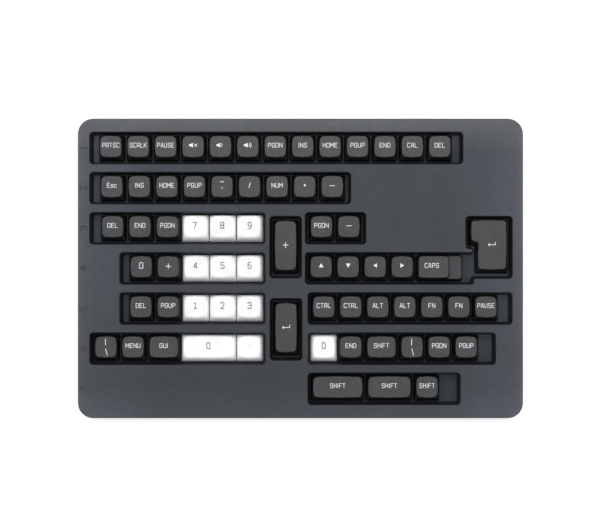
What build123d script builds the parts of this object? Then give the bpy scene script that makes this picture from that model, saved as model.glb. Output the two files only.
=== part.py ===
from build123d import *
from math import radians, tan
import os

# Keycap set in a thermoformed storage tray.
#
# One tray with thirteen drafted pockets holds sixty-nine keycaps, each a hollow
# shell with a cross-shaped stem socket. The origin is at the centre of the tray
# on the surface it stands on, +X runs to the right, +Y to the back and +Z up.

os.makedirs("parts", exist_ok=True)

# ---------------------------------------------------------------- dimensions, mm

# tray
TRAY_WIDTH, TRAY_DEPTH, TRAY_HEIGHT = 304.0, 205.0, 10.5
TRAY_CORNER = 11.0          # plan radius of the outer corners, at the foot
SKIRT_DRAFT = 4.0           # degrees
SHEET = 0.8                 # thickness of the formed sheet
POCKET_DRAFT = 9.5          # degrees
POCKET_CORNER = 2.6         # plan radius at the rim
JOINED_CORNER = 2.0         # tighter where row 4's right pocket opens into the next one
STEP_CORNER = 1.2
NARROW_CORNER = 0.9
POCKET_REACH = 21.95        # front to back, at the rim
DECK_EDGE_RADIUS = 1.2
RIM_RADIUS = 0.6
FLOOR_RADIUS = 0.3
ROW_PITCH = 27.28           # from one row of pockets to the next

# pocket ends at the rim, along X
LEFT_LONG, LEFT_SHORT = -143.4, -123.0
NUMBERS_END = -23.6
RIGHT_START, RIGHT_START_LOW = 3.1, 4.9

# keycap
UNIT = 19.05                # spacing of the keys on a keyboard
CAP_GAP = 0.95              # a cap's foot is this much less than its share of the spacing
TOP_SIDE_INSET = 1.92       # from the foot to the top face, at the left and right
TOP_BACK_INSET, TOP_FRONT_INSET = 0.85, 3.05
CAP_CORNER, CAVITY_CORNER = 2.2, 1.0
WALL, ROOF = 1.35, 1.7
DISH = 0.45                 # depth of the hollow in the top face
TOP_EDGE_RADIUS = 0.5
STEM_RADIUS, STEM_RECESS = 2.8, 1.0
CROSS_LONG, CROSS_X_WIDE, CROSS_Y_WIDE, CROSS_DEEP = 4.1, 1.2, 1.32, 4.0
STABILISER_OFFSET = 11.94   # from the middle stem to each stabiliser stem

# height of the back and front edges of the top face, by row of a keyboard
PROFILES = {"R1": (9.4, 8.6), "R2": (8.9, 8.2), "R3": (8.3, 8.1), "R4": (8.2, 8.7)}

FROM_BELOW = (Align.CENTER, Align.CENTER, Align.MIN)
DECK_Z = TRAY_HEIGHT
FLOOR_Z = SHEET
POCKET_DEPTH = DECK_Z - FLOOR_Z
WALL_RUN = POCKET_DEPTH * tan(radians(POCKET_DRAFT))    # how far a pocket wall leans


def foot_size(units):
    return units * UNIT - CAP_GAP


# ---------------------------------------------------------------- layout

def row_y(row):
    """Middle of a row of pockets; row 1 is at the back and row 7 at the front."""
    return (4 - row) * ROW_PITCH


# pocket name: (row, left end, right end)
ROW_POCKETS = {
    "row_1": (1, LEFT_LONG, 110.6),
    "row_2": (2, LEFT_LONG, 34.4),
    "row_3_left": (3, LEFT_LONG, NUMBERS_END),
    "row_3_right": (3, RIGHT_START, 44.6),
    "row_4_left": (4, LEFT_SHORT, NUMBERS_END),
    "row_4_right": (4, RIGHT_START, 118.0),
    "row_5_left": (5, LEFT_SHORT, NUMBERS_END),
    "row_5_right": (5, RIGHT_START_LOW, 144.1),
    "row_6_left": (6, LEFT_LONG, NUMBERS_END),
    "row_6_right": (6, RIGHT_START_LOW, 132.8),
    "row_7": (7, RIGHT_START_LOW, 108.8),
}
# tall pocket name: (left, right, front, back)
TALL_POCKETS = {
    "tall_plus": (-21.1, 0.9, -6.7, 35.6),
    "tall_enter": (-20.8, 1.2, -62.6, -20.3),
}
ISO_LEFT, ISO_RIGHT, ISO_FRONT, ISO_BACK = 112.2, 144.2, -7.0, 35.6
ISO_CAP_SHIFT = 0.6         # the enter cap lies this far behind the middle of its pocket
ISO_STEP_X, ISO_STEP_Y = 116.8, 13.1    # where the left wall steps in

# A keycap is (node, width in units, profile). Caps of one node sit side by side.
R1, R2, R3, R4 = "R1", "R2", "R3", "R4"
# pocket: (left edge of the first cap's foot, gap between feet, caps from left to right)
CAP_ROWS = {
    "row_1": (-138.05, 0.55, R1, [
        ("key_print_screen", 1), ("key_scroll_lock", 1), ("key_pause_back", 1),
        ("key_mute", 1), ("keys_volume", 1), ("keys_volume", 1),
        ("key_page_down_back", 1), ("key_insert_back", 1), ("key_home_back", 1),
        ("key_page_up_back", 1), ("key_end_back", 1), ("key_calculator", 1),
        ("key_delete_back", 1)]),
    "row_2": (-137.4, 0.65, R1, [
        ("key_escape", 1), ("key_insert", 1), ("key_home", 1), ("key_page_up", 1),
        ("key_tilde", 1), ("key_divide", 1), ("key_num_lock", 1),
        ("key_multiply", 1), ("key_minus", 1)]),
    "row_3_left": (-136.9, 0.55, R2, [
        ("key_delete", 1), ("key_end", 1), ("key_page_down", 1),
        ("keys_789", 1), ("keys_789", 1), ("keys_789", 1)]),
    "row_3_right": (5.3, 0.5, R2, [("key_page_down_spare", 1), ("key_minus_spare", 1)]),
    "row_4_left": (-117.45, 0.35, R3, [
        ("key_zero_dark", 1), ("key_plus_short", 1),
        ("keys_456", 1), ("keys_456", 1), ("keys_456", 1)]),
    "row_4_right": (5.05, 0.3, R3, [
        ("key_arrow_up", 1), ("key_arrow_down", 1), ("key_arrow_left", 1),
        ("key_arrow_right", 1), ("key_caps_lock", 1.75)]),
    "row_5_left": (-117.65, 0.4, R3, [
        ("key_delete_low", 1), ("key_page_up_low", 1),
        ("keys_123", 1), ("keys_123", 1), ("keys_123", 1)]),
    "row_5_right": (6.82, 0.3, R4, [
        ("keys_control", 1), ("keys_control", 1), ("keys_alt", 1), ("keys_alt", 1),
        ("keys_fn", 1), ("keys_fn", 1), ("key_pause", 1)]),
    "row_6_left": (-141.48, 0.4, R4, [
        ("key_backslash", 1), ("key_menu", 1), ("key_gui", 1.25),
        ("key_zero_wide", 2), ("key_point", 1)]),
    "row_6_right": (6.82, 0.35, R4, [
        ("key_zero", 1), ("key_end_low", 1), ("key_shift_short", 1.25),
        ("key_backslash_spare", 1), ("key_page_down_low", 1), ("key_page_up_front", 1)]),
    "row_7": (6.82, 0.4, R4, [
        ("key_shift_long", 2), ("key_shift_medium", 1.75), ("key_shift_1u", 1)]),
}
TALL_CAPS = {"tall_plus": "key_plus_tall", "tall_enter": "key_enter_tall"}
STEPPED = "key_caps_lock"
RAISED_TOP = 20.3           # width of the stepped cap's upper face
STEP_HEIGHT = 5.0           # top of its lower step
CUT_ABOVE = 14.0            # sides are made this tall and then cut at the upper face
CUT_WIDE = 200.0            # wider than any cap
ISO_UNITS, ISO_LOWER_UNITS = 1.5, 1.25


# ---------------------------------------------------------------- outlines

def box_outline(left, right, front, back):
    return [(left, front), (right, front), (right, back), (left, back)]


def rectangle(width, depth):
    return box_outline(-width / 2, width / 2, -depth / 2, depth / 2)


def iso_outline():
    """L-shaped foot of the two-row enter cap, its narrow part to the front."""
    x, y = foot_size(ISO_UNITS) / 2, foot_size(2) / 2
    notch_x = x - foot_size(ISO_LOWER_UNITS)
    notch_y = y - foot_size(1)
    return [(notch_x, -y), (x, -y), (x, y), (-x, y), (-x, notch_y), (notch_x, notch_y)]


def inset(points, side, back, front):
    """A right-angled outline, anticlockwise, with each edge moved inward."""
    moved = []
    for i, (x, y) in enumerate(points):
        for x0, y0, x1, y1 in ((*points[i - 1], x, y), (x, y, *points[(i + 1) % len(points)])):
            if abs(x1 - x0) < 1e-6:
                new_x = x - side if y1 > y0 else x + side
            else:
                new_y = y + front if x1 > x0 else y - back
        moved.append((new_x, new_y))
    return moved


def face(points, corner):
    """A face with rounded corners; corner is one radius, or a list with one for each point."""
    outline = make_face(Polyline(*points, close=True))
    if not isinstance(corner, list):
        return fillet(outline.vertices(), corner)
    for point, radius in zip(points, corner):
        outline = fillet(outline.vertices().sort_by_distance(point)[0], radius)
    return outline


# ---------------------------------------------------------------- keycaps

def middle_of(values):
    return (max(values) + min(values)) / 2


def narrowed(foot, share):
    """The cap's outline part way up its sides; share is 1 at the upper face."""
    return inset(
        foot, share * TOP_SIDE_INSET, share * TOP_BACK_INSET, share * TOP_FRONT_INSET)


def frustum(foot, top, height, corner):
    """Solid with flat leaning sides between two level outlines, its corners rounded."""
    low = [Vector(x, y, 0) for x, y in foot]
    high = [Vector(x, y, height) for x, y in top]
    sides = [make_face(Polyline(*low, close=True)), make_face(Polyline(*high, close=True))]
    for i in range(len(low)):
        around = (low[i - 1], low[i], high[i], high[i - 1])
        sides.append(make_face(Polyline(*around, close=True)))
    solid = Solid(Shell([side.face() for side in sides]))
    upright = [edge for edge in solid.edges() if abs(edge.tangent_at(0.5).Z) > 0.5]
    return fillet(upright, corner)


def crown_plane(outline, back, front, drop=0.0):
    """Plane through a cap's upper face, from its back height to its front height."""
    xs, ys = zip(*outline)
    slope = (back - front) / (max(ys) - min(ys))
    origin = (middle_of(xs), middle_of(ys), (back + front) / 2 - drop)
    return Plane(origin=origin, x_dir=(1, 0, 0), z_dir=(0, -slope, 1))


def under(plane, foot, corner, height):
    """Frustum on a foot outline, cut off at a plane; height is where share is 1."""
    solid = frustum(foot, narrowed(foot, CUT_ABOVE / height), CUT_ABOVE, corner)
    return solid - plane * Box(CUT_WIDE, CUT_WIDE, CUT_ABOVE, align=FROM_BELOW)


def outer_form(foot, back, front):
    """Sides and upper face, with a shallow hollow across it from left to right."""
    height = (back + front) / 2
    top = narrowed(foot, 1)
    plane = crown_plane(top, back, front)
    form = under(plane, foot, CAP_CORNER, height)
    form = fillet(form.faces().sort_by(Axis.Z)[-1].edges(), TOP_EDGE_RADIUS)
    xs = [x for x, _ in top]
    half = (max(xs) - min(xs)) / 2 - TOP_EDGE_RADIUS
    radius = (half ** 2 + DISH ** 2) / (2 * DISH)
    scoop = Pos(0, 0, radius - DISH) * Rot(90, 0, 0) * Cylinder(radius, 3 * UNIT)
    return form - plane * scoop


def cavity(foot, back, front, roof):
    inner = inset(foot, WALL, WALL, WALL)
    plane = crown_plane(narrowed(foot, 1), back, front, roof)
    return under(plane, inner, CAVITY_CORNER, (back + front) / 2)


def with_stems(shell, places, ceiling):
    """Adds round stems up into the roof, each with a cross-shaped socket below."""
    for x, y in places:
        post = Cylinder(STEM_RADIUS, ceiling - STEM_RECESS, align=FROM_BELOW)
        shell += Pos(x, y, STEM_RECESS) * post
    for x, y in places:
        depth = STEM_RECESS + CROSS_DEEP
        shell -= Pos(x, y, 0) * Box(CROSS_LONG, CROSS_X_WIDE, depth, align=FROM_BELOW)
        shell -= Pos(x, y, 0) * Box(CROSS_Y_WIDE, CROSS_LONG, depth, align=FROM_BELOW)
    return shell


def stem_places(middle_x, along):
    """The middle stem, with a stabiliser stem on each side of it on a two-unit cap."""
    steps = (-STABILISER_OFFSET, 0, STABILISER_OFFSET) if along else (0,)
    if along == "y":
        return [(middle_x, step) for step in steps]
    return [(middle_x + step, 0) for step in steps]


def keycap(foot, profile, stems, stem_x=0.0):
    """A hollow cap standing on its open side, its foot centred on the origin."""
    back, front = PROFILES[profile]
    shell = outer_form(foot, back, front) - cavity(foot, back, front, ROOF + DISH)
    return with_stems(shell, stem_places(stem_x, stems), min(back, front) - DISH - ROOF / 2)


def stepped_cap(units, profile):
    """A cap whose upper face stops short and leaves a low step at its right side."""
    back, front = PROFILES[profile]
    foot = rectangle(foot_size(units), foot_size(1))
    right = foot[0][0] + RAISED_TOP + 2 * TOP_SIDE_INSET
    high_foot = box_outline(foot[0][0], right, foot[0][1], foot[2][1])
    height = (back + front) / 2
    step_plane = Plane(origin=(0, 0, STEP_HEIGHT))
    shell = under(step_plane, foot, CAP_CORNER, height)
    shell = fillet(shell.faces().sort_by(Axis.Z)[-1].edges(), TOP_EDGE_RADIUS)
    shell += outer_form(high_foot, back, front)
    inner = inset(foot, WALL, WALL, WALL)
    shell -= under(step_plane.offset(-ROOF), inner, CAVITY_CORNER, height)
    shell -= cavity(high_foot, back, front, ROOF + DISH)
    return with_stems(shell, [(0, 0)], min(back, front) - DISH - ROOF / 2)


# ---------------------------------------------------------------- tray

def pocket_mouths(grow=0.0):
    """Rim outlines of the pockets, each moved outward by grow."""
    reach = POCKET_REACH / 2
    mouths = {}
    for name, (row, left, right) in ROW_POCKETS.items():
        mouths[name] = (left, right, row_y(row) - reach, row_y(row) + reach)
    mouths.update(TALL_POCKETS)
    mouths["iso_enter"] = (ISO_LEFT, ISO_RIGHT, ISO_FRONT, ISO_BACK)
    return {
        name: box_outline(left - grow, right + grow, front - grow, back + grow)
        for name, (left, right, front, back) in mouths.items()
    }


def drafted(outline, corner, depth):
    """A pocket that narrows downward from the deck."""
    return extrude(Pos(0, 0, DECK_Z) * face(outline, corner), -depth, taper=POCKET_DRAFT)


def pocket_forms():
    """The spaces above the sheet. Row 4's right pocket opens into the enter pocket."""
    mouths = pocket_mouths()
    forms = [
        drafted(mouth, POCKET_CORNER, POCKET_DEPTH)
        for name, mouth in mouths.items() if name not in ("row_4_right", "iso_enter")
    ]
    (left, front), _, (right, back), _ = mouths["row_4_right"]
    joined = [
        (left, front), (right, front), (right, ISO_FRONT), (ISO_RIGHT, ISO_FRONT),
        (ISO_RIGHT, ISO_BACK), (ISO_LEFT, ISO_BACK), (ISO_LEFT, ISO_STEP_Y),
        (ISO_STEP_X, ISO_STEP_Y), (ISO_STEP_X, back), (left, back)]
    corners = [POCKET_CORNER] * len(joined)
    corners[1], corners[2] = JOINED_CORNER, STEP_CORNER
    corners[7] = corners[8] = NARROW_CORNER
    forms.append(drafted(joined, corners, POCKET_DEPTH))
    return forms


def block(inset_by, height):
    outline = rectangle(TRAY_WIDTH - 2 * inset_by, TRAY_DEPTH - 2 * inset_by)
    return extrude(face(outline, TRAY_CORNER - inset_by), height, taper=SKIRT_DRAFT)


def level_faces(form, height):
    return form.faces().filter_by_position(Axis.Z, height - 0.01, height + 0.01)


def storage_tray():
    """One formed sheet: deck, skirt and pockets whose floors stand level with the foot."""
    form = block(0, TRAY_HEIGHT)
    for pocket in pocket_forms():
        form -= pocket
    deck = level_faces(form, DECK_Z)[0]
    rims = [edge for wire in deck.inner_wires() for edge in wire.edges()]
    form = fillet(rims, RIM_RADIUS)
    deck = level_faces(form, DECK_Z)[0]
    form = fillet(deck.outer_wire().edges(), DECK_EDGE_RADIUS)
    floor_edges = [edge for floor in level_faces(form, FLOOR_Z) for edge in floor.edges()]
    form = fillet(floor_edges, FLOOR_RADIUS)
    hollow = block(SHEET, TRAY_HEIGHT - SHEET)
    for mouth in pocket_mouths(grow=SHEET).values():
        hollow -= drafted(mouth, POCKET_CORNER + SHEET, DECK_Z + SHEET)
    return form - hollow


# ---------------------------------------------------------------- the set

def placed_caps():
    """Every cap in its pocket, as lists of separate solids by node."""
    nodes = {}
    ordinary = {}
    for pocket, (left, gap, profile, caps) in CAP_ROWS.items():
        for node, units in caps:
            width = foot_size(units)
            if node == STEPPED:
                cap = stepped_cap(units, profile)
            else:
                if (units, profile) not in ordinary:
                    stems = "x" if units >= 2 else None
                    foot = rectangle(width, foot_size(1))
                    ordinary[units, profile] = keycap(foot, profile, stems)
                cap = ordinary[units, profile]
            place = Pos(left + width / 2, row_y(ROW_POCKETS[pocket][0]), FLOOR_Z)
            nodes.setdefault(node, []).append(place * cap)
            left += width + gap
    tall = keycap(rectangle(foot_size(1), foot_size(2)), R2, "y")
    for pocket, node in TALL_CAPS.items():
        left, right, front, back = TALL_POCKETS[pocket]
        nodes[node] = [Pos((left + right) / 2, (front + back) / 2, FLOOR_Z) * tall]
    stem_x = (foot_size(ISO_UNITS) - foot_size(ISO_LOWER_UNITS)) / 2
    middle_y = (ISO_FRONT + ISO_BACK) / 2 + ISO_CAP_SHIFT
    middle = Pos((ISO_LEFT + ISO_RIGHT) / 2, middle_y, FLOOR_Z)
    nodes["key_enter_iso"] = [middle * keycap(iso_outline(), R2, "y", stem_x)]
    return nodes


export_step(storage_tray(), "parts/storage_tray.step")
for name, caps in placed_caps().items():
    solids = [solid for cap in caps for solid in cap.solids()]
    export_step(Compound(children=solids) if len(solids) > 1 else solids[0], f"parts/{name}.step")
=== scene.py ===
"""Looks of a keycap set in a formed storage tray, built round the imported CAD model."""

import math

import bpy
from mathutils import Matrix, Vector


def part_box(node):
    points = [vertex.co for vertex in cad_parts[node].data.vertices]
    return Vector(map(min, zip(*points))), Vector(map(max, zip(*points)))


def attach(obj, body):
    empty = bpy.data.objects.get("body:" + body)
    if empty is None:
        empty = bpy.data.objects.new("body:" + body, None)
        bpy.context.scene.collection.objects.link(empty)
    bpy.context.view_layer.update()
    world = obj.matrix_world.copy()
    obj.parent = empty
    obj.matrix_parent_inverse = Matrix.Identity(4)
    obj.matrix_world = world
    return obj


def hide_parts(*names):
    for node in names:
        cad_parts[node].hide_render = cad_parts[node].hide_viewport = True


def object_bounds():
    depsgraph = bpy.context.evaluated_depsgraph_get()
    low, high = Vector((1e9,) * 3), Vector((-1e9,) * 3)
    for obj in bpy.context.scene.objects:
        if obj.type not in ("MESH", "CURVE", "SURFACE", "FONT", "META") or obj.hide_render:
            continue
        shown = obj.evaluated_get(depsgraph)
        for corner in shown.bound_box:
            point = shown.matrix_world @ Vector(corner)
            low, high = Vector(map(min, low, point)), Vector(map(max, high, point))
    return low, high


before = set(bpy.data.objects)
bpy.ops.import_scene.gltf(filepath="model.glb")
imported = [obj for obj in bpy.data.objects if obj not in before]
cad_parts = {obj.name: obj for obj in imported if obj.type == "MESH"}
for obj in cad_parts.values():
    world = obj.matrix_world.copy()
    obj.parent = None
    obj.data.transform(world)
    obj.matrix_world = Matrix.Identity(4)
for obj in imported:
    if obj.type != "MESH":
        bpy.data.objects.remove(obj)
cad_low, cad_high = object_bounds()

MM = 0.001

# ---------------------------------------------------------------- keycap sizes, mm

FOOT = 18.1                         # foot of a one-unit cap
SIDE_INSET, BACK_INSET, FRONT_INSET = 1.92, 0.85, 3.05      # from the foot to the upper face
FOOT_CORNER, TOP_CORNER = 1.1, 3.1
TOP_BULGE = 0.3                     # how far the middle of an upper edge stands out
EDGE_RADIUS = 0.7                   # rounding between the sides and the upper face
WALL, ROOF, DISH = 1.35, 1.7, 0.45
HOLLOW_CORNER, HOLLOW_TOP_CORNER = 0.9, 1.0
HOLLOW_TAPER = 0.8                  # share of the outer insets that the hollow's roof takes
STEM_RADIUS, STEM_RECESS = 2.8, 1.0
STEM_BITE = 0.8                     # how far a stem reaches into the roof
CROSS_LONG, CROSS_X_WIDE, CROSS_Y_WIDE, CROSS_DEEP = 4.1, 1.2, 1.32, 4.0
STABILISER_OFFSET = 11.94           # from the middle stem to the outer ones of a long cap

ISO_LOWER_FOOT = 22.8625            # foot of the narrow front part of the two-row enter
ISO_TOP_CORNER = 2.1
ISO_HUB = (2.0, 8.0)                # a place from where the whole of its face is in view
STEPPED = "key_caps_lock"           # keeps its CAD mesh
RAISED_TOP = 20.3                   # width of the stepped cap's upper face

# back and front height of the upper face, for the four shapes of cap
PROFILES = ((9.4, 8.6), (8.9, 8.2), (8.3, 8.1), (8.2, 8.7))
EDGE_LOSS = 0.06                    # what the rounding of its edges takes off a CAD cap's height

# how finely a cap is divided
SIDE_SHARES = (0, 0.35, 0.7, 1)     # from the foot to the upper edge
EDGE_STEPS = 4
FACE_SHARES = (0.92, 0.8, 0.65, 0.48, 0.3, 0.13)    # from the rim of the face to its hub

ROWS, ROW_PITCH = 7, 27.28          # rows of pockets, and from one row to the next

# ---------------------------------------------------------------- legends

WHITE_NODES = ("keys_789", "keys_456", "keys_123", "key_zero_wide", "key_point", "key_zero")

# node: the legend of each of its caps, from left to right
LEGENDS = {
    "key_print_screen": ["PRTSC"], "key_scroll_lock": ["SCRLK"], "key_pause_back": ["PAUSE"],
    "key_mute": ["<mute>"], "keys_volume": ["<quiet>", "<loud>"],
    "key_page_down_back": ["PGDN"], "key_insert_back": ["INS"], "key_home_back": ["HOME"],
    "key_page_up_back": ["PGUP"], "key_end_back": ["END"], "key_calculator": ["CAL"],
    "key_delete_back": ["DEL"],
    "key_escape": ["Esc"], "key_insert": ["INS"], "key_home": ["HOME"],
    "key_page_up": ["PGUP"], "key_tilde": ["<tilde>"], "key_divide": ["/"],
    "key_num_lock": ["NUM"], "key_multiply": ["*"], "key_minus": ["-"],
    "key_delete": ["DEL"], "key_end": ["END"], "key_page_down": ["PGDN"],
    "keys_789": ["7", "8", "9"], "key_page_down_spare": ["PGDN"], "key_minus_spare": ["-"],
    "key_zero_dark": ["0"], "key_plus_short": ["+"], "keys_456": ["4", "5", "6"],
    "key_arrow_up": ["<up>"], "key_arrow_down": ["<down>"], "key_arrow_left": ["<left>"],
    "key_arrow_right": ["<right>"], "key_caps_lock": ["CAPS"],
    "key_delete_low": ["DEL"], "key_page_up_low": ["PGUP"], "keys_123": ["1", "2", "3"],
    "keys_control": ["CTRL", "CTRL"], "keys_alt": ["ALT", "ALT"], "keys_fn": ["FN", "FN"],
    "key_pause": ["PAUSE"],
    "key_backslash": ["<bars>"], "key_menu": ["MENU"], "key_gui": ["GUI"],
    "key_zero_wide": ["0"], "key_point": ["."], "key_zero": ["0"], "key_end_low": ["END"],
    "key_shift_short": ["SHIFT"], "key_backslash_spare": ["<bars>"],
    "key_page_down_low": ["PGDN"], "key_page_up_front": ["PGUP"],
    "key_shift_long": ["SHIFT"], "key_shift_medium": ["SHIFT"], "key_shift_1u": ["SHIFT"],
    "key_plus_tall": ["+"], "key_enter_tall": ["<enter>"], "key_enter_iso": ["<enter>"],
}

LEGEND_RISE = 0.9                   # mm from the middle of the upper face to a legend's
LEGEND_ASIDE = {"key_enter_iso": 2.0, "key_caps_lock": -1.3}    # mm to the right

# width and height of a letter, gap between letters and width of a stroke, mm
WHITE_DIGIT = (2.15, 4.1, 0.7, 0.52)
SINGLE = (2.3, 4.0, 0.7, 0.44)
WORD = (1.7, 2.9, 0.84, 0.34)
LONG_WORD = (1.6, 2.9, 0.82, 0.32)
ROW_MARK = (2.8, 4.4, 0.0, 0.5)
MARK_INSET = 4.5                    # from the tray's left side to the middle of the row numbers
SYMBOL_STROKE = 0.4

# Single-line characters on a grid 4 wide and 6 high. A point is (x, y) or (x, y, radius),
# and strokes that meet at a sharp corner are separate.
GLYPH_WIDE, GLYPH_HIGH = 4, 6
R = 1.1
GLYPHS = {
    "A": [[(0, 0), (1.5, 6), (2.5, 6), (4, 0)], [(0.6, 2.0), (3.4, 2.0)]],
    "C": [[(4, 1.2), (4, 0, R), (0, 0, R), (0, 6, R), (4, 6, R), (4, 4.8)]],
    "D": [[(0, 0), (4, 0, 1.5), (4, 6, 1.5), (0, 6), (0, 0)]],
    "E": [[(4, 0), (0, 0), (0, 6), (4, 6)], [(0, 3.1), (3.4, 3.1)]],
    "F": [[(0, 0), (0, 6), (4, 6)], [(0, 3.1), (3.4, 3.1)]],
    "G": [[(4, 4.8), (4, 6, R), (0, 6, R), (0, 0, R), (4, 0, R), (4, 2.9), (2.2, 2.9)]],
    "H": [[(0, 0), (0, 6)], [(4, 0), (4, 6)], [(0, 3.1), (4, 3.1)]],
    "I": [[(0.4, 0), (0.4, 6)]],
    "K": [[(0, 0), (0, 6)], [(4, 6), (0, 2.5)], [(1.3, 3.6), (4, 0)]],
    "L": [[(0, 6), (0, 0), (3.7, 0)]],
    "M": [[(0, 0), (0, 6)], [(0, 6), (2.4, 2.2)], [(2.4, 2.2), (4.8, 6)], [(4.8, 6), (4.8, 0)]],
    "N": [[(0, 0), (0, 6)], [(0, 6), (4.3, 0)], [(4.3, 0), (4.3, 6)]],
    "O": [[(2, 0), (4, 0, R), (4, 6, R), (0, 6, R), (0, 0, R), (2, 0)]],
    "P": [[(0, 0), (0, 6), (4, 6, R), (4, 2.6, R), (0, 2.6)]],
    "R": [[(0, 0), (0, 6), (4, 6, R), (4, 2.6, R), (0, 2.6)], [(2.2, 2.6), (4, 0)]],
    "S": [[(4, 4.9), (4, 6, R), (0, 6, R), (0, 3.1, R), (4, 3.1, R), (4, 0, R), (0, 0, R),
           (0, 1.1)]],
    "T": [[(0, 6), (4, 6)], [(2, 6), (2, 0)]],
    "U": [[(0, 6), (0, 0, R), (4, 0, R), (4, 6)]],
    "s": [[(3.2, 3.3), (3.2, 4.1, 0.8), (0, 4.1, 0.8), (0, 2.1, 0.8), (3.2, 2.1, 0.8),
           (3.2, 0, 0.8), (0, 0, 0.8), (0, 0.8)]],
    "c": [[(3.2, 0.9), (3.2, 0, R), (0, 0, R), (0, 4.1, R), (3.2, 4.1, R), (3.2, 3.2)]],
    "0": [[(2, 0), (4, 0, 1.5), (4, 6, 1.5), (0, 6, 1.5), (0, 0, 1.5), (2, 0)]],
    "1": [[(0.7, 4.7), (2.2, 6), (2.2, 0)], [(0.6, 0), (3.8, 0)]],
    "2": [[(0, 4.7), (0, 6, 1.4), (4, 6, 1.4), (4, 3.3, 1.2), (0, 0)], [(0, 0), (4, 0)]],
    "3": [[(0, 4.9), (0, 6, R), (4, 6, R), (4, 3.1, R), (1.4, 3.1)],
          [(1.8, 3.1), (4, 3.1, R), (4, 0, R), (0, 0, R), (0, 1.1)]],
    "4": [[(3, 0), (3, 6)], [(3, 6), (0, 1.6)], [(0, 1.6), (4, 1.6)]],
    "5": [[(4, 6), (0, 6), (0, 3.5), (4, 3.5, 1.4), (4, 0, 1.4), (0, 0, R), (0, 1.1)]],
    "6": [[(3.6, 6), (0, 6, 1.8), (0, 0, 1.4), (4, 0, 1.4), (4, 3.5, 1.4), (0, 3.5)]],
    "7": [[(0, 6), (4, 6)], [(4, 6), (1.4, 0)]],
    "8": [[(2, 3.1), (4, 3.1, R), (4, 6, R), (0, 6, R), (0, 3.1, R), (4, 3.1, R), (4, 0, R),
           (0, 0, R), (0, 3.1, R), (2, 3.1)]],
    "9": [[(0.4, 0), (4, 0, 1.8), (4, 6, 1.4), (0, 6, 1.4), (0, 2.5, 1.4), (4, 2.5)]],
    "/": [[(1.2, 0.6), (2.9, 5.4)]],
    "*": [[(2, 2.1), (2, 3.9)], [(1.2, 2.5), (2.8, 3.5)], [(1.2, 3.5), (2.8, 2.5)]],
    ".": [[(1.7, 2.7), (2.3, 2.7)]],
}
# widths of the glyphs that are narrower or wider than the grid
WIDTHS = {"I": 0.8, "L": 3.7, "M": 4.8, "N": 4.3, "s": 3.2, "c": 3.2}

# ---------------------------------------------------------------- outlines, mm

ARC, SIDE = 8, 6                    # divisions of a corner and of a side
STRAIGHT = 1e-6                     # a smaller difference is none


def inset(points, side, back, front):
    """A right-angled outline, anticlockwise, with each edge moved inward."""
    moved = []
    for i, (x, y) in enumerate(points):
        for x0, y0, x1, y1 in ((*points[i - 1], x, y), (x, y, *points[(i + 1) % len(points)])):
            if abs(x1 - x0) < STRAIGHT:
                new_x = x - side if y1 > y0 else x + side
            else:
                new_y = y + front if x1 > x0 else y - back
        moved.append((new_x, new_y))
    return moved


def ring_of(points, radius, bulge=0.0):
    """Points round a right-angled outline with arcs at its corners and sides that swell."""
    arcs = []
    for i, corner in enumerate(points):
        here = Vector(corner)
        come = (here - Vector(points[i - 1])).normalized()
        go = (Vector(points[(i + 1) % len(points)]) - here).normalized()
        centre = here + (go - come) * radius
        arcs.append([
            centre + radius * (come * math.sin(a) - go * math.cos(a))
            for a in (math.pi / 2 * k / ARC for k in range(ARC + 1))])
    ring = []
    for i, arc in enumerate(arcs):
        start, end = arc[-1], arcs[(i + 1) % len(arcs)][0]
        along = (end - start).normalized()
        out = Vector((along.y, -along.x))
        ring += arc
        for k in range(1, SIDE):
            swell = bulge * math.sin(math.pi * k / SIDE) ** 2
            ring.append(start.lerp(end, k / SIDE) + out * swell)
    return ring


# ---------------------------------------------------------------- meshes

class Shell:
    """Vertices and faces of a piece, in mm."""

    def __init__(self):
        self.points, self.faces = [], []

    def add(self, points):
        """Adds points, and gives their numbers."""
        start = len(self.points)
        self.points += [tuple(point) for point in points]
        return list(range(start, len(self.points)))

    def join(self, low, high):
        """Faces between two rings with as many points; they look outward if high is above."""
        for i in range(len(low)):
            j = (i + 1) % len(low)
            self.faces.append((low[i], low[j], high[j], high[i]))

    def fan(self, ring, centre, up=True):
        """Faces from a ring to its centre, which look up or down."""
        middle = self.add([centre])[0]
        for i in range(len(ring)):
            j = (i + 1) % len(ring)
            self.faces.append((ring[i], ring[j], middle) if up else (ring[j], ring[i], middle))

    def piece(self, name, offset, look, body, slot, sharp=40):
        """An object of the shell that rides on a body; edges above sharp degrees stay sharp."""
        mesh = bpy.data.meshes.new(name)
        move = Vector(offset)
        mesh.from_pydata([(Vector(p) + move) * MM for p in self.points], [], self.faces)
        mesh.polygons.foreach_set("use_smooth", [True] * len(mesh.polygons))
        mesh.set_sharp_from_angle(angle=math.radians(sharp))
        mesh.update()
        made = bpy.data.objects.new(name, mesh)
        bpy.context.scene.collection.objects.link(made)
        mesh.materials.append(look)
        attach(made, body)
        return made


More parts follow.
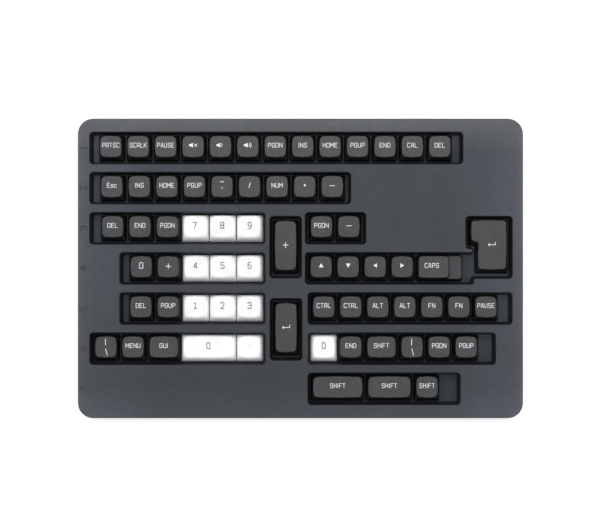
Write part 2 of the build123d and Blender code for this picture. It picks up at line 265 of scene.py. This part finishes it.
class Cap:
    """One keycap: its outline, and the height of its upper face at any place."""

    def __init__(self, foot, back, front, hub=None):
        self.foot, self.back, self.front = foot, back, front
        self.top = self.outline(1)
        self.left, self.right = min(x for x, _ in self.top), max(x for x, _ in self.top)
        self.low, self.high = min(y for _, y in self.top), max(y for _, y in self.top)
        self.middle = ((self.left + self.right) / 2, (self.low + self.high) / 2)
        self.hub = hub or self.middle
        self.top_corner = ISO_TOP_CORNER if len(foot) > 4 else TOP_CORNER

    def outline(self, share, extra=0.0):
        """The foot's outline moved in by a share of the way to the upper face, and by extra."""
        return inset(
            self.foot, share * SIDE_INSET + extra, share * BACK_INSET + extra,
            share * FRONT_INSET + extra)

    def crown(self, y):
        """Height of the upper face at its left and right edge."""
        share = (y - self.low) / (self.high - self.low)
        return self.front + (self.back - self.front) * share

    def face(self, x, y):
        """Height of the upper face, hollowed from left to right."""
        across = (x - self.middle[0]) / ((self.right - self.left) / 2)
        return self.crown(y) - DISH * max(0.0, 1 - across ** 2)

    def roof(self, y):
        """Height of the hollow's roof."""
        return self.crown(y) - ROOF - DISH

    def add_to(self, shell, x, y, stems):
        """Adds the cap with its foot's centre at x, y; stems are the places of its stems."""
        def put(ring, height):
            return shell.add([(px + x, py + y, height(px, py)) for px, py in ring])

        # sides
        rings = []
        for share in SIDE_SHARES:
            corner = FOOT_CORNER + (self.top_corner - FOOT_CORNER) * share
            ring = ring_of(self.outline(share), corner, TOP_BULGE * share)
            rings.append(put(ring, lambda px, py, s=share: s * (self.face(px, py) - EDGE_RADIUS)))

        # rounded edge
        for step in range(1, EDGE_STEPS + 1):
            turn = math.pi / 2 * step / EDGE_STEPS
            extra = EDGE_RADIUS * (1 - math.cos(turn))
            drop = EDGE_RADIUS * (1 - math.sin(turn))
            ring = ring_of(self.outline(1, extra), self.top_corner - extra, TOP_BULGE)
            rings.append(put(ring, lambda px, py, d=drop: self.face(px, py) - d))

        # upper face
        hub = Vector(self.hub)
        for share in FACE_SHARES:
            smaller = [hub + (point - hub) * share for point in ring]
            rings.append(put(smaller, self.face))
        for low, high in zip(rings, rings[1:]):
            shell.join(low, high)
        shell.fan(rings[-1], (hub.x + x, hub.y + y, self.face(*hub)))

        # hollow underneath
        mouth = ring_of(self.outline(0, WALL), HOLLOW_CORNER)
        ceiling = ring_of(self.outline(HOLLOW_TAPER, WALL), HOLLOW_TOP_CORNER)
        inner_low = put(mouth, lambda px, py: 0)
        inner_high = put(ceiling, lambda px, py: self.roof(py))
        shell.join(inner_low, rings[0])
        shell.join(inner_high, inner_low)
        shell.fan(inner_high, (hub.x + x, hub.y + y, self.roof(hub.y)), up=False)
        for stem_x, stem_y in stems:
            stem(shell, x + stem_x, y + stem_y, self.roof(self.low) + STEM_BITE)


def cross_ring():
    """A cross anticlockwise, with a point at each corner and halfway between two."""
    reach, x_arm, y_arm = CROSS_LONG / 2, CROSS_X_WIDE / 2, CROSS_Y_WIDE / 2
    corners = []
    for turn in range(4):
        # the arms along Y are a little wider than those along X
        if turn % 2:
            quarter = [(reach, y_arm), (x_arm, y_arm), (x_arm, reach)]
        else:
            quarter = [(reach, x_arm), (y_arm, x_arm), (y_arm, reach)]
        for px, py in quarter:
            for _ in range(turn):
                px, py = -py, px
            corners.append((px, py))
    ring = []
    for i, (px, py) in enumerate(corners):
        qx, qy = corners[(i + 1) % len(corners)]
        ring += [(px, py), ((px + qx) / 2, (py + qy) / 2)]
    return ring


def stem(shell, x, y, top):
    """A round post that reaches into the roof, with a cross-shaped socket from below."""
    cross = cross_ring()
    turns = [math.atan2(py, px) for px, py in cross]
    post = [(STEM_RADIUS * math.cos(turn), STEM_RADIUS * math.sin(turn)) for turn in turns]

    def put(ring, z):
        return shell.add([(px + x, py + y, z) for px, py in ring])

    foot, head = put(post, STEM_RECESS), put(post, top)
    mouth, floor = put(cross, STEM_RECESS), put(cross, STEM_RECESS + CROSS_DEEP)
    shell.join(foot, head)
    shell.fan(head, (x, y, top))
    shell.join(mouth, foot)
    shell.join(floor, mouth)
    shell.fan(floor, (x, y, STEM_RECESS + CROSS_DEEP), up=False)


# ---------------------------------------------------------------- printed legends

PRINT_HIGH, PRINT_DEEP = 0.03, 0.05     # above and below the cap's face
PRINT_SHARP = 30                        # degrees
CURVE_STEPS = 4                         # divisions of a glyph's rounded corner
WAVE_STEPS = 6                          # divisions of a loudspeaker's wave
END_REACH = 0.35                        # a stroke passes its last point by this much of its width
MITRE_LIMIT = 0.6                       # keeps a stroke from growing wide where it turns sharply
SAME_POINT = 1e-4


def softened(line):
    """A polyline with its marked corners rounded off."""
    smooth = []
    for i, point in enumerate(line):
        here = Vector(point[:2])
        if len(point) < 3 or i in (0, len(line) - 1):
            smooth.append(here)
            continue
        before, after = Vector(line[i - 1][:2]), Vector(line[i + 1][:2])
        reach = min(point[2], (here - before).length / 2, (after - here).length / 2)
        start = here + (before - here).normalized() * reach
        end = here + (after - here).normalized() * reach
        for k in range(CURVE_STEPS + 1):
            t = k / CURVE_STEPS
            smooth.append(start * (1 - t) ** 2 + here * 2 * t * (1 - t) + end * t ** 2)
    distinct = smooth[:1]
    for point in smooth[1:]:
        if (point - distinct[-1]).length > SAME_POINT:
            distinct.append(point)
    return distinct


def stroke(shell, line, width, height_at):
    """A thin closed ribbon along a line of points, laid on the cap's face."""
    sides = []
    for i, here in enumerate(line):
        before = (here - line[i - 1]).normalized() if i else None
        after = (line[i + 1] - here).normalized() if i < len(line) - 1 else None
        along = ((before or after) + (after or before)).normalized()
        across = Vector((-along.y, along.x))
        lean = along.dot(before or after)
        reach = width / 2 / max(lean, MITRE_LIMIT)
        spot = here
        if before is None:
            spot = here - along * width * END_REACH
        elif after is None:
            spot = here + along * width * END_REACH
        sides.append((spot - across * reach, spot + across * reach))
    section = []
    for right, left in sides:
        z_right, z_left = height_at(*right), height_at(*left)
        section.append(shell.add([
            (*right, z_right - PRINT_DEEP), (*right, z_right + PRINT_HIGH),
            (*left, z_left + PRINT_HIGH), (*left, z_left - PRINT_DEEP)]))
    for low, high in zip(section, section[1:]):
        shell.join(high, low)
    shell.faces.append(tuple(section[0]))
    shell.faces.append(tuple(reversed(section[-1])))


def plate(shell, points, height_at):
    """A thin closed plate with straight edges, anticlockwise, laid on the cap's face."""
    low = shell.add([(*point, height_at(*point) - PRINT_DEEP) for point in points])
    high = shell.add([(*point, height_at(*point) + PRINT_HIGH) for point in points])
    shell.join(low, high)
    shell.faces.append(tuple(high))
    shell.faces.append(tuple(reversed(low)))


def wave(cx, cy, radius, start, end):
    """An arc from one angle to another, in degrees."""
    turns = [
        math.radians(start + (end - start) * k / WAVE_STEPS) for k in range(WAVE_STEPS + 1)]
    return [(cx + radius * math.cos(a), cy + radius * math.sin(a)) for a in turns]


SPEAKER = [(-2.8, -0.6), (-1.9, -0.6), (-0.1, -1.6), (-0.1, 1.6), (-1.9, 0.6), (-2.8, 0.6)]
# symbol: (plates, lines), in mm about its middle
SYMBOLS = {
    "<up>": ([[(-1.6, -1.3), (1.6, -1.3), (0, 1.5)]], []),
    "<down>": ([[(1.6, 1.3), (-1.6, 1.3), (0, -1.5)]], []),
    "<left>": ([[(1.2, -1.5), (1.2, 1.5), (-1.3, 0)]], []),
    "<right>": ([[(-1.2, 1.5), (-1.2, -1.5), (1.3, 0)]], []),
    "<mute>": ([SPEAKER], [[(1.0, -0.8), (2.6, 0.8)], [(1.0, 0.8), (2.6, -0.8)]]),
    "<quiet>": ([SPEAKER], [wave(-0.4, 0, 1.5, -40, 40)]),
    "<loud>": ([SPEAKER], [wave(-0.4, 0, 1.5, -40, 40), wave(-0.4, 0, 2.6, -42, 42)]),
    "<tilde>": ([], [
        [(-1.1, 2.2), (-0.6, 2.7), (0.6, 2.1), (1.1, 2.6)], [(-0.4, -1.3), (0.4, -2.1)]]),
    "<bars>": ([], [[(-0.3, 0.4), (-0.3, 4.6)], [(-0.2, -2.2), (1.0, -6.4)]]),
    "<enter>": ([], [
        [(-2.3, -0.8), (2.5, -0.8), (2.5, 1.0)], [(-1.5, 0.0), (-2.4, -0.8), (-1.5, -1.6)]]),
    "+": ([], [[(-1.7, -0.5), (1.7, -0.5)], [(0, -2.2), (0, 1.2)]]),
    "-": ([], [[(-1.7, -0.3), (1.7, -0.3)]]),
}


def write(shell, text, cx, cy, lettering, height_at):
    """Writes a word about a middle point."""
    wide, tall, gap, width = lettering
    scale_x, scale_y = wide / GLYPH_WIDE, tall / GLYPH_HIGH
    letters = [(letter, WIDTHS.get(letter, GLYPH_WIDE) * scale_x) for letter in text]
    total = sum(advance for _, advance in letters) + gap * (len(letters) - 1)
    x = cx - total / 2
    for letter, advance in letters:
        for line in GLYPHS[letter]:
            placed = [
                Vector((x + px * scale_x, cy + (py - GLYPH_HIGH / 2) * scale_y))
                for px, py in softened(line)]
            stroke(shell, placed, width, height_at)
        x += advance + gap


def draw(shell, symbol, cx, cy, height_at):
    """Draws a symbol about a middle point."""
    plates, lines = SYMBOLS[symbol]
    for points in plates:
        plate(shell, [(cx + px, cy + py) for px, py in points], height_at)
    for line in lines:
        stroke(shell, [Vector((cx + px, cy + py)) for px, py in line], SYMBOL_STROKE, height_at)


def lettering_of(text, white):
    if white:
        return WHITE_DIGIT
    if len(text) == 1:
        return SINGLE
    return WORD if len(text) < 5 else LONG_WORD


def legend(shell, text, cap, x, y, white, aside):
    """The legend of one cap whose foot's centre is at x, y; aside moves it to the right."""
    def height_at(px, py):
        return cap.face(px - x, py - y)

    cx, cy = x + cap.middle[0] + aside, y + cap.middle[1] + LEGEND_RISE
    if text in SYMBOLS:
        draw(shell, text, cx, cy, height_at)
    else:
        write(shell, text, cx, cy, lettering_of(text, white), height_at)


# ---------------------------------------------------------------- materials

# Lengths are in metres here, and a noise scale is the number of its features in a metre.
NOISE_LOW, NOISE_HIGH = 0.3, 0.7                # nearly all of a noise lies between these
PATCH_LOW, PATCH_HIGH = 0.35, 0.65              # a narrower span, which gives distinct patches
COLOUR_A, COLOUR_B, COLOUR_RESULT = 6, 7, 2     # sockets of a mix of two colours
BLACK, WHITE = (0.0, 0.0, 0.0), (1.0, 1.0, 1.0)


def material(name, **inputs):
    """A material and its Principled shader, with constants set on the shader's sockets."""
    made = bpy.data.materials.new(name)
    made.use_nodes = True
    shader = made.node_tree.nodes["Principled BSDF"]
    for socket, value in inputs.items():
        shader.inputs[socket.replace("_", " ")].default_value = value
    return made, shader


class Nodes:
    """Short ways to add and wire shader nodes."""

    def __init__(self, made):
        self.tree = made.node_tree
        self.place = self.add("ShaderNodeTexCoord").outputs["Object"]
        self.x, self.y, self.z = self.parts(self.place)

    def add(self, kind, **settings):
        node = self.tree.nodes.new(kind)
        for key, value in settings.items():
            setattr(node, key, value)
        return node

    def wire(self, source, target):
        self.tree.links.new(source, target)

    def parts(self, vector):
        """The X, Y and Z of a vector."""
        node = self.add("ShaderNodeSeparateXYZ")
        self.wire(vector, node.inputs["Vector"])
        return node.outputs["X"], node.outputs["Y"], node.outputs["Z"]

    def noise(self, scale, detail=2.0, rough=0.5):
        node = self.add("ShaderNodeTexNoise")
        node.inputs["Scale"].default_value = scale
        node.inputs["Detail"].default_value = detail
        node.inputs["Roughness"].default_value = rough
        self.wire(self.place, node.inputs["Vector"])
        return node.outputs["Fac"]

    def spread(self, source, low, high, to_low, to_high):
        """Maps the span from low to high onto another, and holds it at the ends."""
        node = self.add("ShaderNodeMapRange")
        for socket, value in zip(
                ("From Min", "From Max", "To Min", "To Max"), (low, high, to_low, to_high)):
            node.inputs[socket].default_value = value
        self.wire(source, node.inputs["Value"])
        return node.outputs["Result"]

    def vary(self, noise, by):
        """A factor about 1 that follows a noise."""
        return self.spread(noise, NOISE_LOW, NOISE_HIGH, 1 - by, 1 + by)

    def patches(self, noise, to_low, to_high):
        return self.spread(noise, PATCH_LOW, PATCH_HIGH, to_low, to_high)

    def math(self, operation, first, second):
        node = self.add("ShaderNodeMath", operation=operation)
        for socket, value in zip(node.inputs, (first, second)):
            if isinstance(value, (int, float)):
                socket.default_value = value
            else:
                self.wire(value, socket)
        return node.outputs["Value"]

    def product(self, first, *others):
        for other in others:
            first = self.math("MULTIPLY", first, other)
        return first

    def mix(self, share, first, second):
        node = self.add("ShaderNodeMix", data_type="RGBA")
        self.wire(share, node.inputs["Factor"])
        for index, value in ((COLOUR_A, first), (COLOUR_B, second)):
            if isinstance(value, tuple):
                node.inputs[index].default_value = (*value, 1.0)
            else:
                self.wire(value, node.inputs[index])
        return node.outputs[COLOUR_RESULT]

    def shaded(self, colour, shade):
        """A colour made lighter or darker by a factor."""
        node = self.add("ShaderNodeVectorMath", operation="SCALE")
        self.wire(colour, node.inputs["Vector"])
        self.wire(shade, node.inputs["Scale"])
        return node.outputs["Vector"]

    def surface(self, steep, flat):
        """1 on faces that look up and 0 on walls, and how sharp the edge at a place is."""
        node = self.add("ShaderNodeNewGeometry")
        up = self.parts(node.outputs["Normal"])[2]
        return self.spread(up, steep, flat, 0.0, 1.0), node.outputs["Pointiness"]

    def bump(self, shader, heights, distances, strength):
        """Stacks bumps on the shader's normal."""
        last = None
        for height, distance in zip(heights, distances):
            node = self.add("ShaderNodeBump")
            node.inputs["Strength"].default_value = strength
            node.inputs["Distance"].default_value = distance
            self.wire(height, node.inputs["Height"])
            if last:
                self.wire(last, node.inputs["Normal"])
            last = node.outputs["Normal"]
        self.wire(last, shader.inputs["Normal"])


def moulded(name, top, side, wear_and_highlight, rough, grain_depth, speckled, glow, painted_back_light, **inputs):
    """Moulded plastic: fine spark-eroded grain, faint clouding, and shinier rubbed upper edges
    that are painted lighter as a highlight.

    top and side are colours, and speckled is how much the colour varies by the grain. The top
    colour goes on faces that look up and the side colour on walls: light and shade painted by
    slope. The edge colour paints rubbed upper edges lighter, a painted highlight. glow is painted
    light: the upper part of a white cap's walls gives off light of its own to brighten sides that
    the lamps leave dim. The tone at the back is painted light: how much lighter the caps of the
    back row are than those at the front.
    """
    made, shader = material(name, **inputs)
    n = Nodes(made)
    facing, sharpness = n.surface(0.35, 0.93)
    grain = n.noise(3200, 2.0, 0.6)
    cloud = n.noise(90, 3.0)
    speckle = n.noise(1300, 1.0)
    scuffs = n.noise(700, 3.0)

    # the grain, speckle and clouding vary the tone at random; the caps of the back row are
    # painted lighter, painted light that falls off towards the front
    shade = n.product(
        n.vary(grain, 0.12), n.vary(speckle, speckled), n.vary(cloud, 0.06),
        n.spread(n.y, 0.0, 0.085, 1.0, painted_back_light))
    # painted light and shade by slope: the top colour on faces that look up, the side colour on
    # walls
    tinted = n.shaded(n.mix(facing, side, top), shade)

    # the upper edges are rubbed a little, in patches, which leaves them shinier; their colour
    # there is painted lighter, a painted highlight
    near_top = n.spread(n.z, 0.006, 0.008, 0.0, 0.5)
    edge = n.product(
        n.spread(sharpness, 0.52, 0.6, 0.0, 1.0), near_top, n.patches(scuffs, 0.2, 1.0))
    n.wire(n.mix(edge, tinted, wear_and_highlight), shader.inputs["Base Color"])
    roughness = n.spread(grain, NOISE_LOW, NOISE_HIGH, rough + 0.05, rough - 0.05)
    n.wire(n.math("SUBTRACT", roughness, n.product(edge, 0.12)), shader.inputs["Roughness"])

    # painted light: the upper part of a white cap's walls gives off light of its own, to brighten
    # sides that the lamps leave dim
    if glow:
        painted_glow = n.spread(n.z, 0.003, 0.0085, 0.0, glow)
        painted_glow = n.product(painted_glow, n.math("SUBTRACT", 1.0, facing))
        n.wire(n.mix(painted_glow, BLACK, WHITE), shader.inputs["Emission Color"])
    n.bump(shader, (grain, cloud), (grain_depth, 0.00002), 0.6)
    return made


def formed_sheet(name):
    """Thermoformed sheet: satin deck with a faint leather grain; walls painted near black as
    shade, and the deck painted paler and darker in places as the light falls.
    """
    made, shader = material(name, Specular_IOR_Level=0.4)
    n = Nodes(made)
    facing, sharpness = n.surface(0.45, 0.97)
    out_x = n.math("ABSOLUTE", n.x, 0.0)
    out_y = n.math("ABSOLUTE", n.y, 0.0)
    sunk = n.spread(n.z, 0.001, 0.0095, 1.0, 0.0)
    cloud = n.noise(22, 3.0)
    mottle = n.noise(260, 3.0, 0.6)
    grain = n.noise(2200, 2.0, 0.6)

    # bluish, and nearly neutral at the rim and at the back edge
    blue = n.product(
        n.spread(n.noise(9, 1.0), 0.4, 0.6, 0.85, 1.0),
        n.spread(out_x, 0.138, 0.15, 1.0, 0.3), n.spread(n.y, 0.075, 0.095, 1.0, 0.15))
    deck_colour = n.mix(blue, (0.0335, 0.0345, 0.0372), (0.028, 0.0328, 0.0412))
    # painted shade: walls are painted near black by slope, faces that look up take the deck
    # colour
    base = n.mix(facing, (0.0035, 0.0037, 0.0042), deck_colour)

    # painted light and shade: paler towards the sides and darker in the middle, as the light
    # falls, but the same all along the back edge
    painted_middle_shade, painted_side_light, painted_back_light = 0.82, 1.40, 0.88
    aside = n.spread(out_x, 0.10, 0.152, painted_middle_shade - painted_back_light, painted_side_light - painted_back_light)
    aside = n.product(aside, n.spread(n.y, 0.082, 0.096, 1.0, 0.0))
    # painted light: paler at the rim, at the front and back edge, towards the back, and on the
    # sunk floors, as the light falls
    shade = n.product(
        n.vary(cloud, 0.08), n.vary(mottle, 0.05), n.math("ADD", aside, painted_back_light),
        n.spread(out_x, 0.146, 0.1515, 1.0, 1.25), n.spread(out_y, 0.08, 0.1, 1.0, 1.5),
        n.spread(n.y, -0.06, 0.07, 0.93, 1.24), n.spread(n.y, 0.08, 0.1, 1.0, 1.52),
        n.spread(sunk, 0.0, 1.0, 1.0, 1.35))
    tinted = n.shaded(base, shade)

    edge = n.product(n.spread(sharpness, 0.53, 0.62, 0.0, 0.45), n.patches(mottle, 0.3, 1.0))
    n.wire(n.mix(edge, tinted, (0.045, 0.047, 0.052)), shader.inputs["Base Color"])
    roughness = n.spread(mottle, NOISE_LOW, NOISE_HIGH, 0.64, 0.56)
    n.wire(n.math("ADD", roughness, n.product(sunk, 0.2)), shader.inputs["Roughness"])
    n.bump(shader, (cloud, mottle, grain), (0.00025, 0.00003, 0.000012), 0.6)
    return made


def ink(name, colour, patch):
    """Printed ink: slightly uneven cover and a dry, matt surface."""
    made, shader = material(name, Specular_IOR_Level=0.3)
    n = Nodes(made)
    cover = n.patches(n.noise(1800, 3.0, 0.6), 0.0, 1.0)
    n.wire(n.mix(cover, patch, colour), shader.inputs["Base Color"])
    n.wire(n.spread(cover, 0.0, 1.0, 0.7, 0.55), shader.inputs["Roughness"])
    n.bump(shader, (cover,), (0.00001,), 0.5)
    return made


def painted_ground(name):
    """Seamless pale paper, with a little light of its own to keep the shadow on it faint."""
    made, shader = material(
        name, Roughness=0.9, Specular_IOR_Level=0.1, Emission_Color=(*WHITE, 1.0),
        Emission_Strength=0.2)
    n = Nodes(made)
    fibre = n.spread(n.noise(60, 4.0), NOISE_LOW, NOISE_HIGH, 0.0, 1.0)
    n.wire(n.mix(fibre, (0.97, 0.97, 0.97), (0.99, 0.99, 0.99)), shader.inputs["Base Color"])
    return made


# painted light and shade: the dark caps' tops are painted lighter than their near-black sides, a
# painted sheen on top and painted shade on the sides; the white caps' sides are painted lighter
# than their tops and given a painted glow; the dark back row is painted lighter
CAP_DARK = moulded(
    "cap_dark", top=(0.040, 0.041, 0.043), side=(0.0045, 0.0048, 0.0052),
    wear_and_highlight=(0.06, 0.061, 0.063), rough=0.56, grain_depth=0.000022, speckled=0.28, glow=0.0,
    painted_back_light=1.35, Specular_IOR_Level=0.35)
CAP_WHITE = moulded(
    "cap_white", top=(0.80, 0.80, 0.80), side=(0.90, 0.90, 0.90), wear_and_highlight=(0.84, 0.84, 0.84),
    rough=0.5, grain_depth=0.000012, speckled=0.02, glow=0.34, painted_back_light=1.0,
    Specular_IOR_Level=0.4, Sheen_Weight=1.0, Sheen_Roughness=0.5, Sheen_Tint=(*WHITE, 1.0),
    Emission_Strength=1.0)
TRAY_SHEET = formed_sheet("tray_sheet")
PRINT_WHITE = ink("print_white", (0.86, 0.86, 0.86), (0.62, 0.62, 0.63))
PRINT_GREY = ink("print_grey", (0.03, 0.03, 0.032), (0.07, 0.07, 0.07))
MARK = ink("row_mark", (0.018, 0.019, 0.0205), (0.023, 0.024, 0.026))


# ---------------------------------------------------------------- the set

def rectangle(width, depth):
    x, y = width / 2, depth / 2
    return [(-x, -y), (x, -y), (x, y), (-x, y)]


def iso_outline(width, depth):
    """The L of the two-row enter: wide behind, narrow in front."""
    x, y = width / 2, depth / 2
    notch_x, notch_y = x - ISO_LOWER_FOOT, y - FOOT
    return [(notch_x, -y), (x, -y), (x, y), (-x, y), (-x, notch_y), (notch_x, notch_y)]


def stems_of(width, depth):
    """Places of the stems: three in a row on a cap two units long."""
    steps = (-STABILISER_OFFSET, 0, STABILISER_OFFSET)
    if depth > 2 * FOOT:
        return [(0, step) for step in steps]
    if width > 2 * FOOT:
        return [(step, 0) for step in steps]
    return [(0, 0)]


def heights_of(tall):
    """The shape of cap whose highest edge is nearest to a CAD cap's height."""
    return min(PROFILES, key=lambda heights: abs(max(heights) - EDGE_LOSS - tall))


def caps_of(node, count):
    """Each cap of a node: its shape, the X of its foot's middle, and the places of its stems."""
    low, high = (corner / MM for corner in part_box(node))
    size, middle = high - low, (low.x + high.x) / 2
    heights = heights_of(size.z)
    if node == "key_enter_iso":
        stem_x = (size.x - ISO_LOWER_FOOT) / 2
        stems = [(stem_x, step) for _, step in stems_of(0, size.y)]
        return [(Cap(iso_outline(size.x, size.y), *heights, hub=ISO_HUB), middle, stems)]
    if node == STEPPED:
        raised = RAISED_TOP + 2 * SIDE_INSET
        return [(Cap(rectangle(raised, size.y), *heights), low.x + raised / 2, None)]
    if count == 1:
        stems = stems_of(size.x, size.y)
        return [(Cap(rectangle(size.x, size.y), *heights), middle, stems)]
    cap, stems = Cap(rectangle(FOOT, size.y), *heights), stems_of(FOOT, size.y)
    first, step = low.x + FOOT / 2, (size.x - FOOT) / (count - 1)
    return [(cap, first + k * step, stems) for k in range(count)]


def dress(node, words):
    """Replaces a CAD node's caps with finished ones and prints their legends."""
    low, high = (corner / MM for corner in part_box(node))
    y = (low.y + high.y) / 2
    on_floor = (0, 0, low.z)
    white = node in WHITE_NODES
    plastic, print_ink = (CAP_WHITE, PRINT_GREY) if white else (CAP_DARK, PRINT_WHITE)
    slot = "cap_white" if white else "cap_dark"
    caps, prints = Shell(), Shell()
    for word, (cap, x, stems) in zip(words, caps_of(node, len(words))):
        if node != STEPPED:
            cap.add_to(caps, x, y, stems)
        legend(prints, word, cap, x, y, white, LEGEND_ASIDE.get(node, 0.0))
    if node == STEPPED:
        for part_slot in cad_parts[node].material_slots:
            part_slot.material = plastic
    else:
        made = caps.piece(f"look_{node}", on_floor, plastic, node, slot)
        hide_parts(node)
    prints.piece(f"print_{node}", on_floor, print_ink, node, slot, sharp=PRINT_SHARP)


def number_rows():
    """A number for each row on the tray's left margin, turned to read from the left."""
    low, high = (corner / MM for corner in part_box("storage_tray"))
    marks = Shell()
    for row in range(1, ROWS + 1):
        number = Shell()
        write(number, str(row), 0, 0, ROW_MARK, lambda px, py: high.z)
        row_y = ((ROWS + 1) / 2 - row) * ROW_PITCH
        marks.faces += [tuple(i + len(marks.points) for i in face) for face in number.faces]
        marks.add([(low.x + MARK_INSET - y, row_y + x, z) for x, y, z in number.points])
    marks.piece("row_marks", (0, 0, 0), MARK, "storage_tray", "tray_sheet", sharp=PRINT_SHARP)


for node_name, node_words in LEGENDS.items():
    dress(node_name, node_words)
number_rows()
for tray_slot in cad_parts["storage_tray"].material_slots:
    tray_slot.material = TRAY_SHEET

# ---------------------------------------------------------------- ground, lights, camera

scene = bpy.context.scene


def ground(reach, drop):
    """A square of paper, a little below the tray's foot so that the two don't flicker."""
    mesh = bpy.data.meshes.new("ground")
    corners = [(-reach, -reach, 0), (reach, -reach, 0), (reach, reach, 0), (-reach, reach, 0)]
    mesh.from_pydata(corners, [], [(0, 1, 2, 3)])
    mesh.materials.append(painted_ground("ground_paper"))
    made = bpy.data.objects.new("ground", mesh)
    made.location.z = -drop
    scene.collection.objects.link(made)


def sky(colour, strength):
    world = bpy.data.worlds.new("studio")
    world.use_nodes = True
    background = world.node_tree.nodes["Background"]
    background.inputs["Color"].default_value = (*colour, 1.0)
    background.inputs["Strength"].default_value = strength
    scene.world = world


def lamp(name, place, aim, size, watts):
    data = bpy.data.lights.new(name, "AREA")
    data.shape = "RECTANGLE"
    data.size, data.size_y = size
    data.energy = watts
    made = bpy.data.objects.new(name, data)
    made.location = place
    made.rotation_euler = (Vector(aim) - Vector(place)).to_track_quat("-Z", "Y").to_euler()
    scene.collection.objects.link(made)


def camera(aside, behind, height, lens):
    """Looks straight down from above the set; aside and behind are from its middle."""
    data = bpy.data.cameras.new("camera")
    data.sensor_width = 36
    data.lens = lens
    made = bpy.data.objects.new("camera", data)
    middle = (cad_low + cad_high) / 2
    made.location = (middle.x + aside, middle.y + behind, cad_high.z + height)
    scene.collection.objects.link(made)
    scene.camera = made


scene.view_settings.view_transform = "Standard"
scene.view_settings.look = "None"
ground(reach=4.0, drop=0.0005)
sky((0.97, 0.985, 1.0), strength=1.0)
lamp("overhead", place=(0.0, 0.6, 1.7), aim=(0.0, 0.1, 0.0), size=(1.7, 1.3), watts=11)
camera(aside=-0.0003, behind=0.00164, height=1.0, lens=88.3)
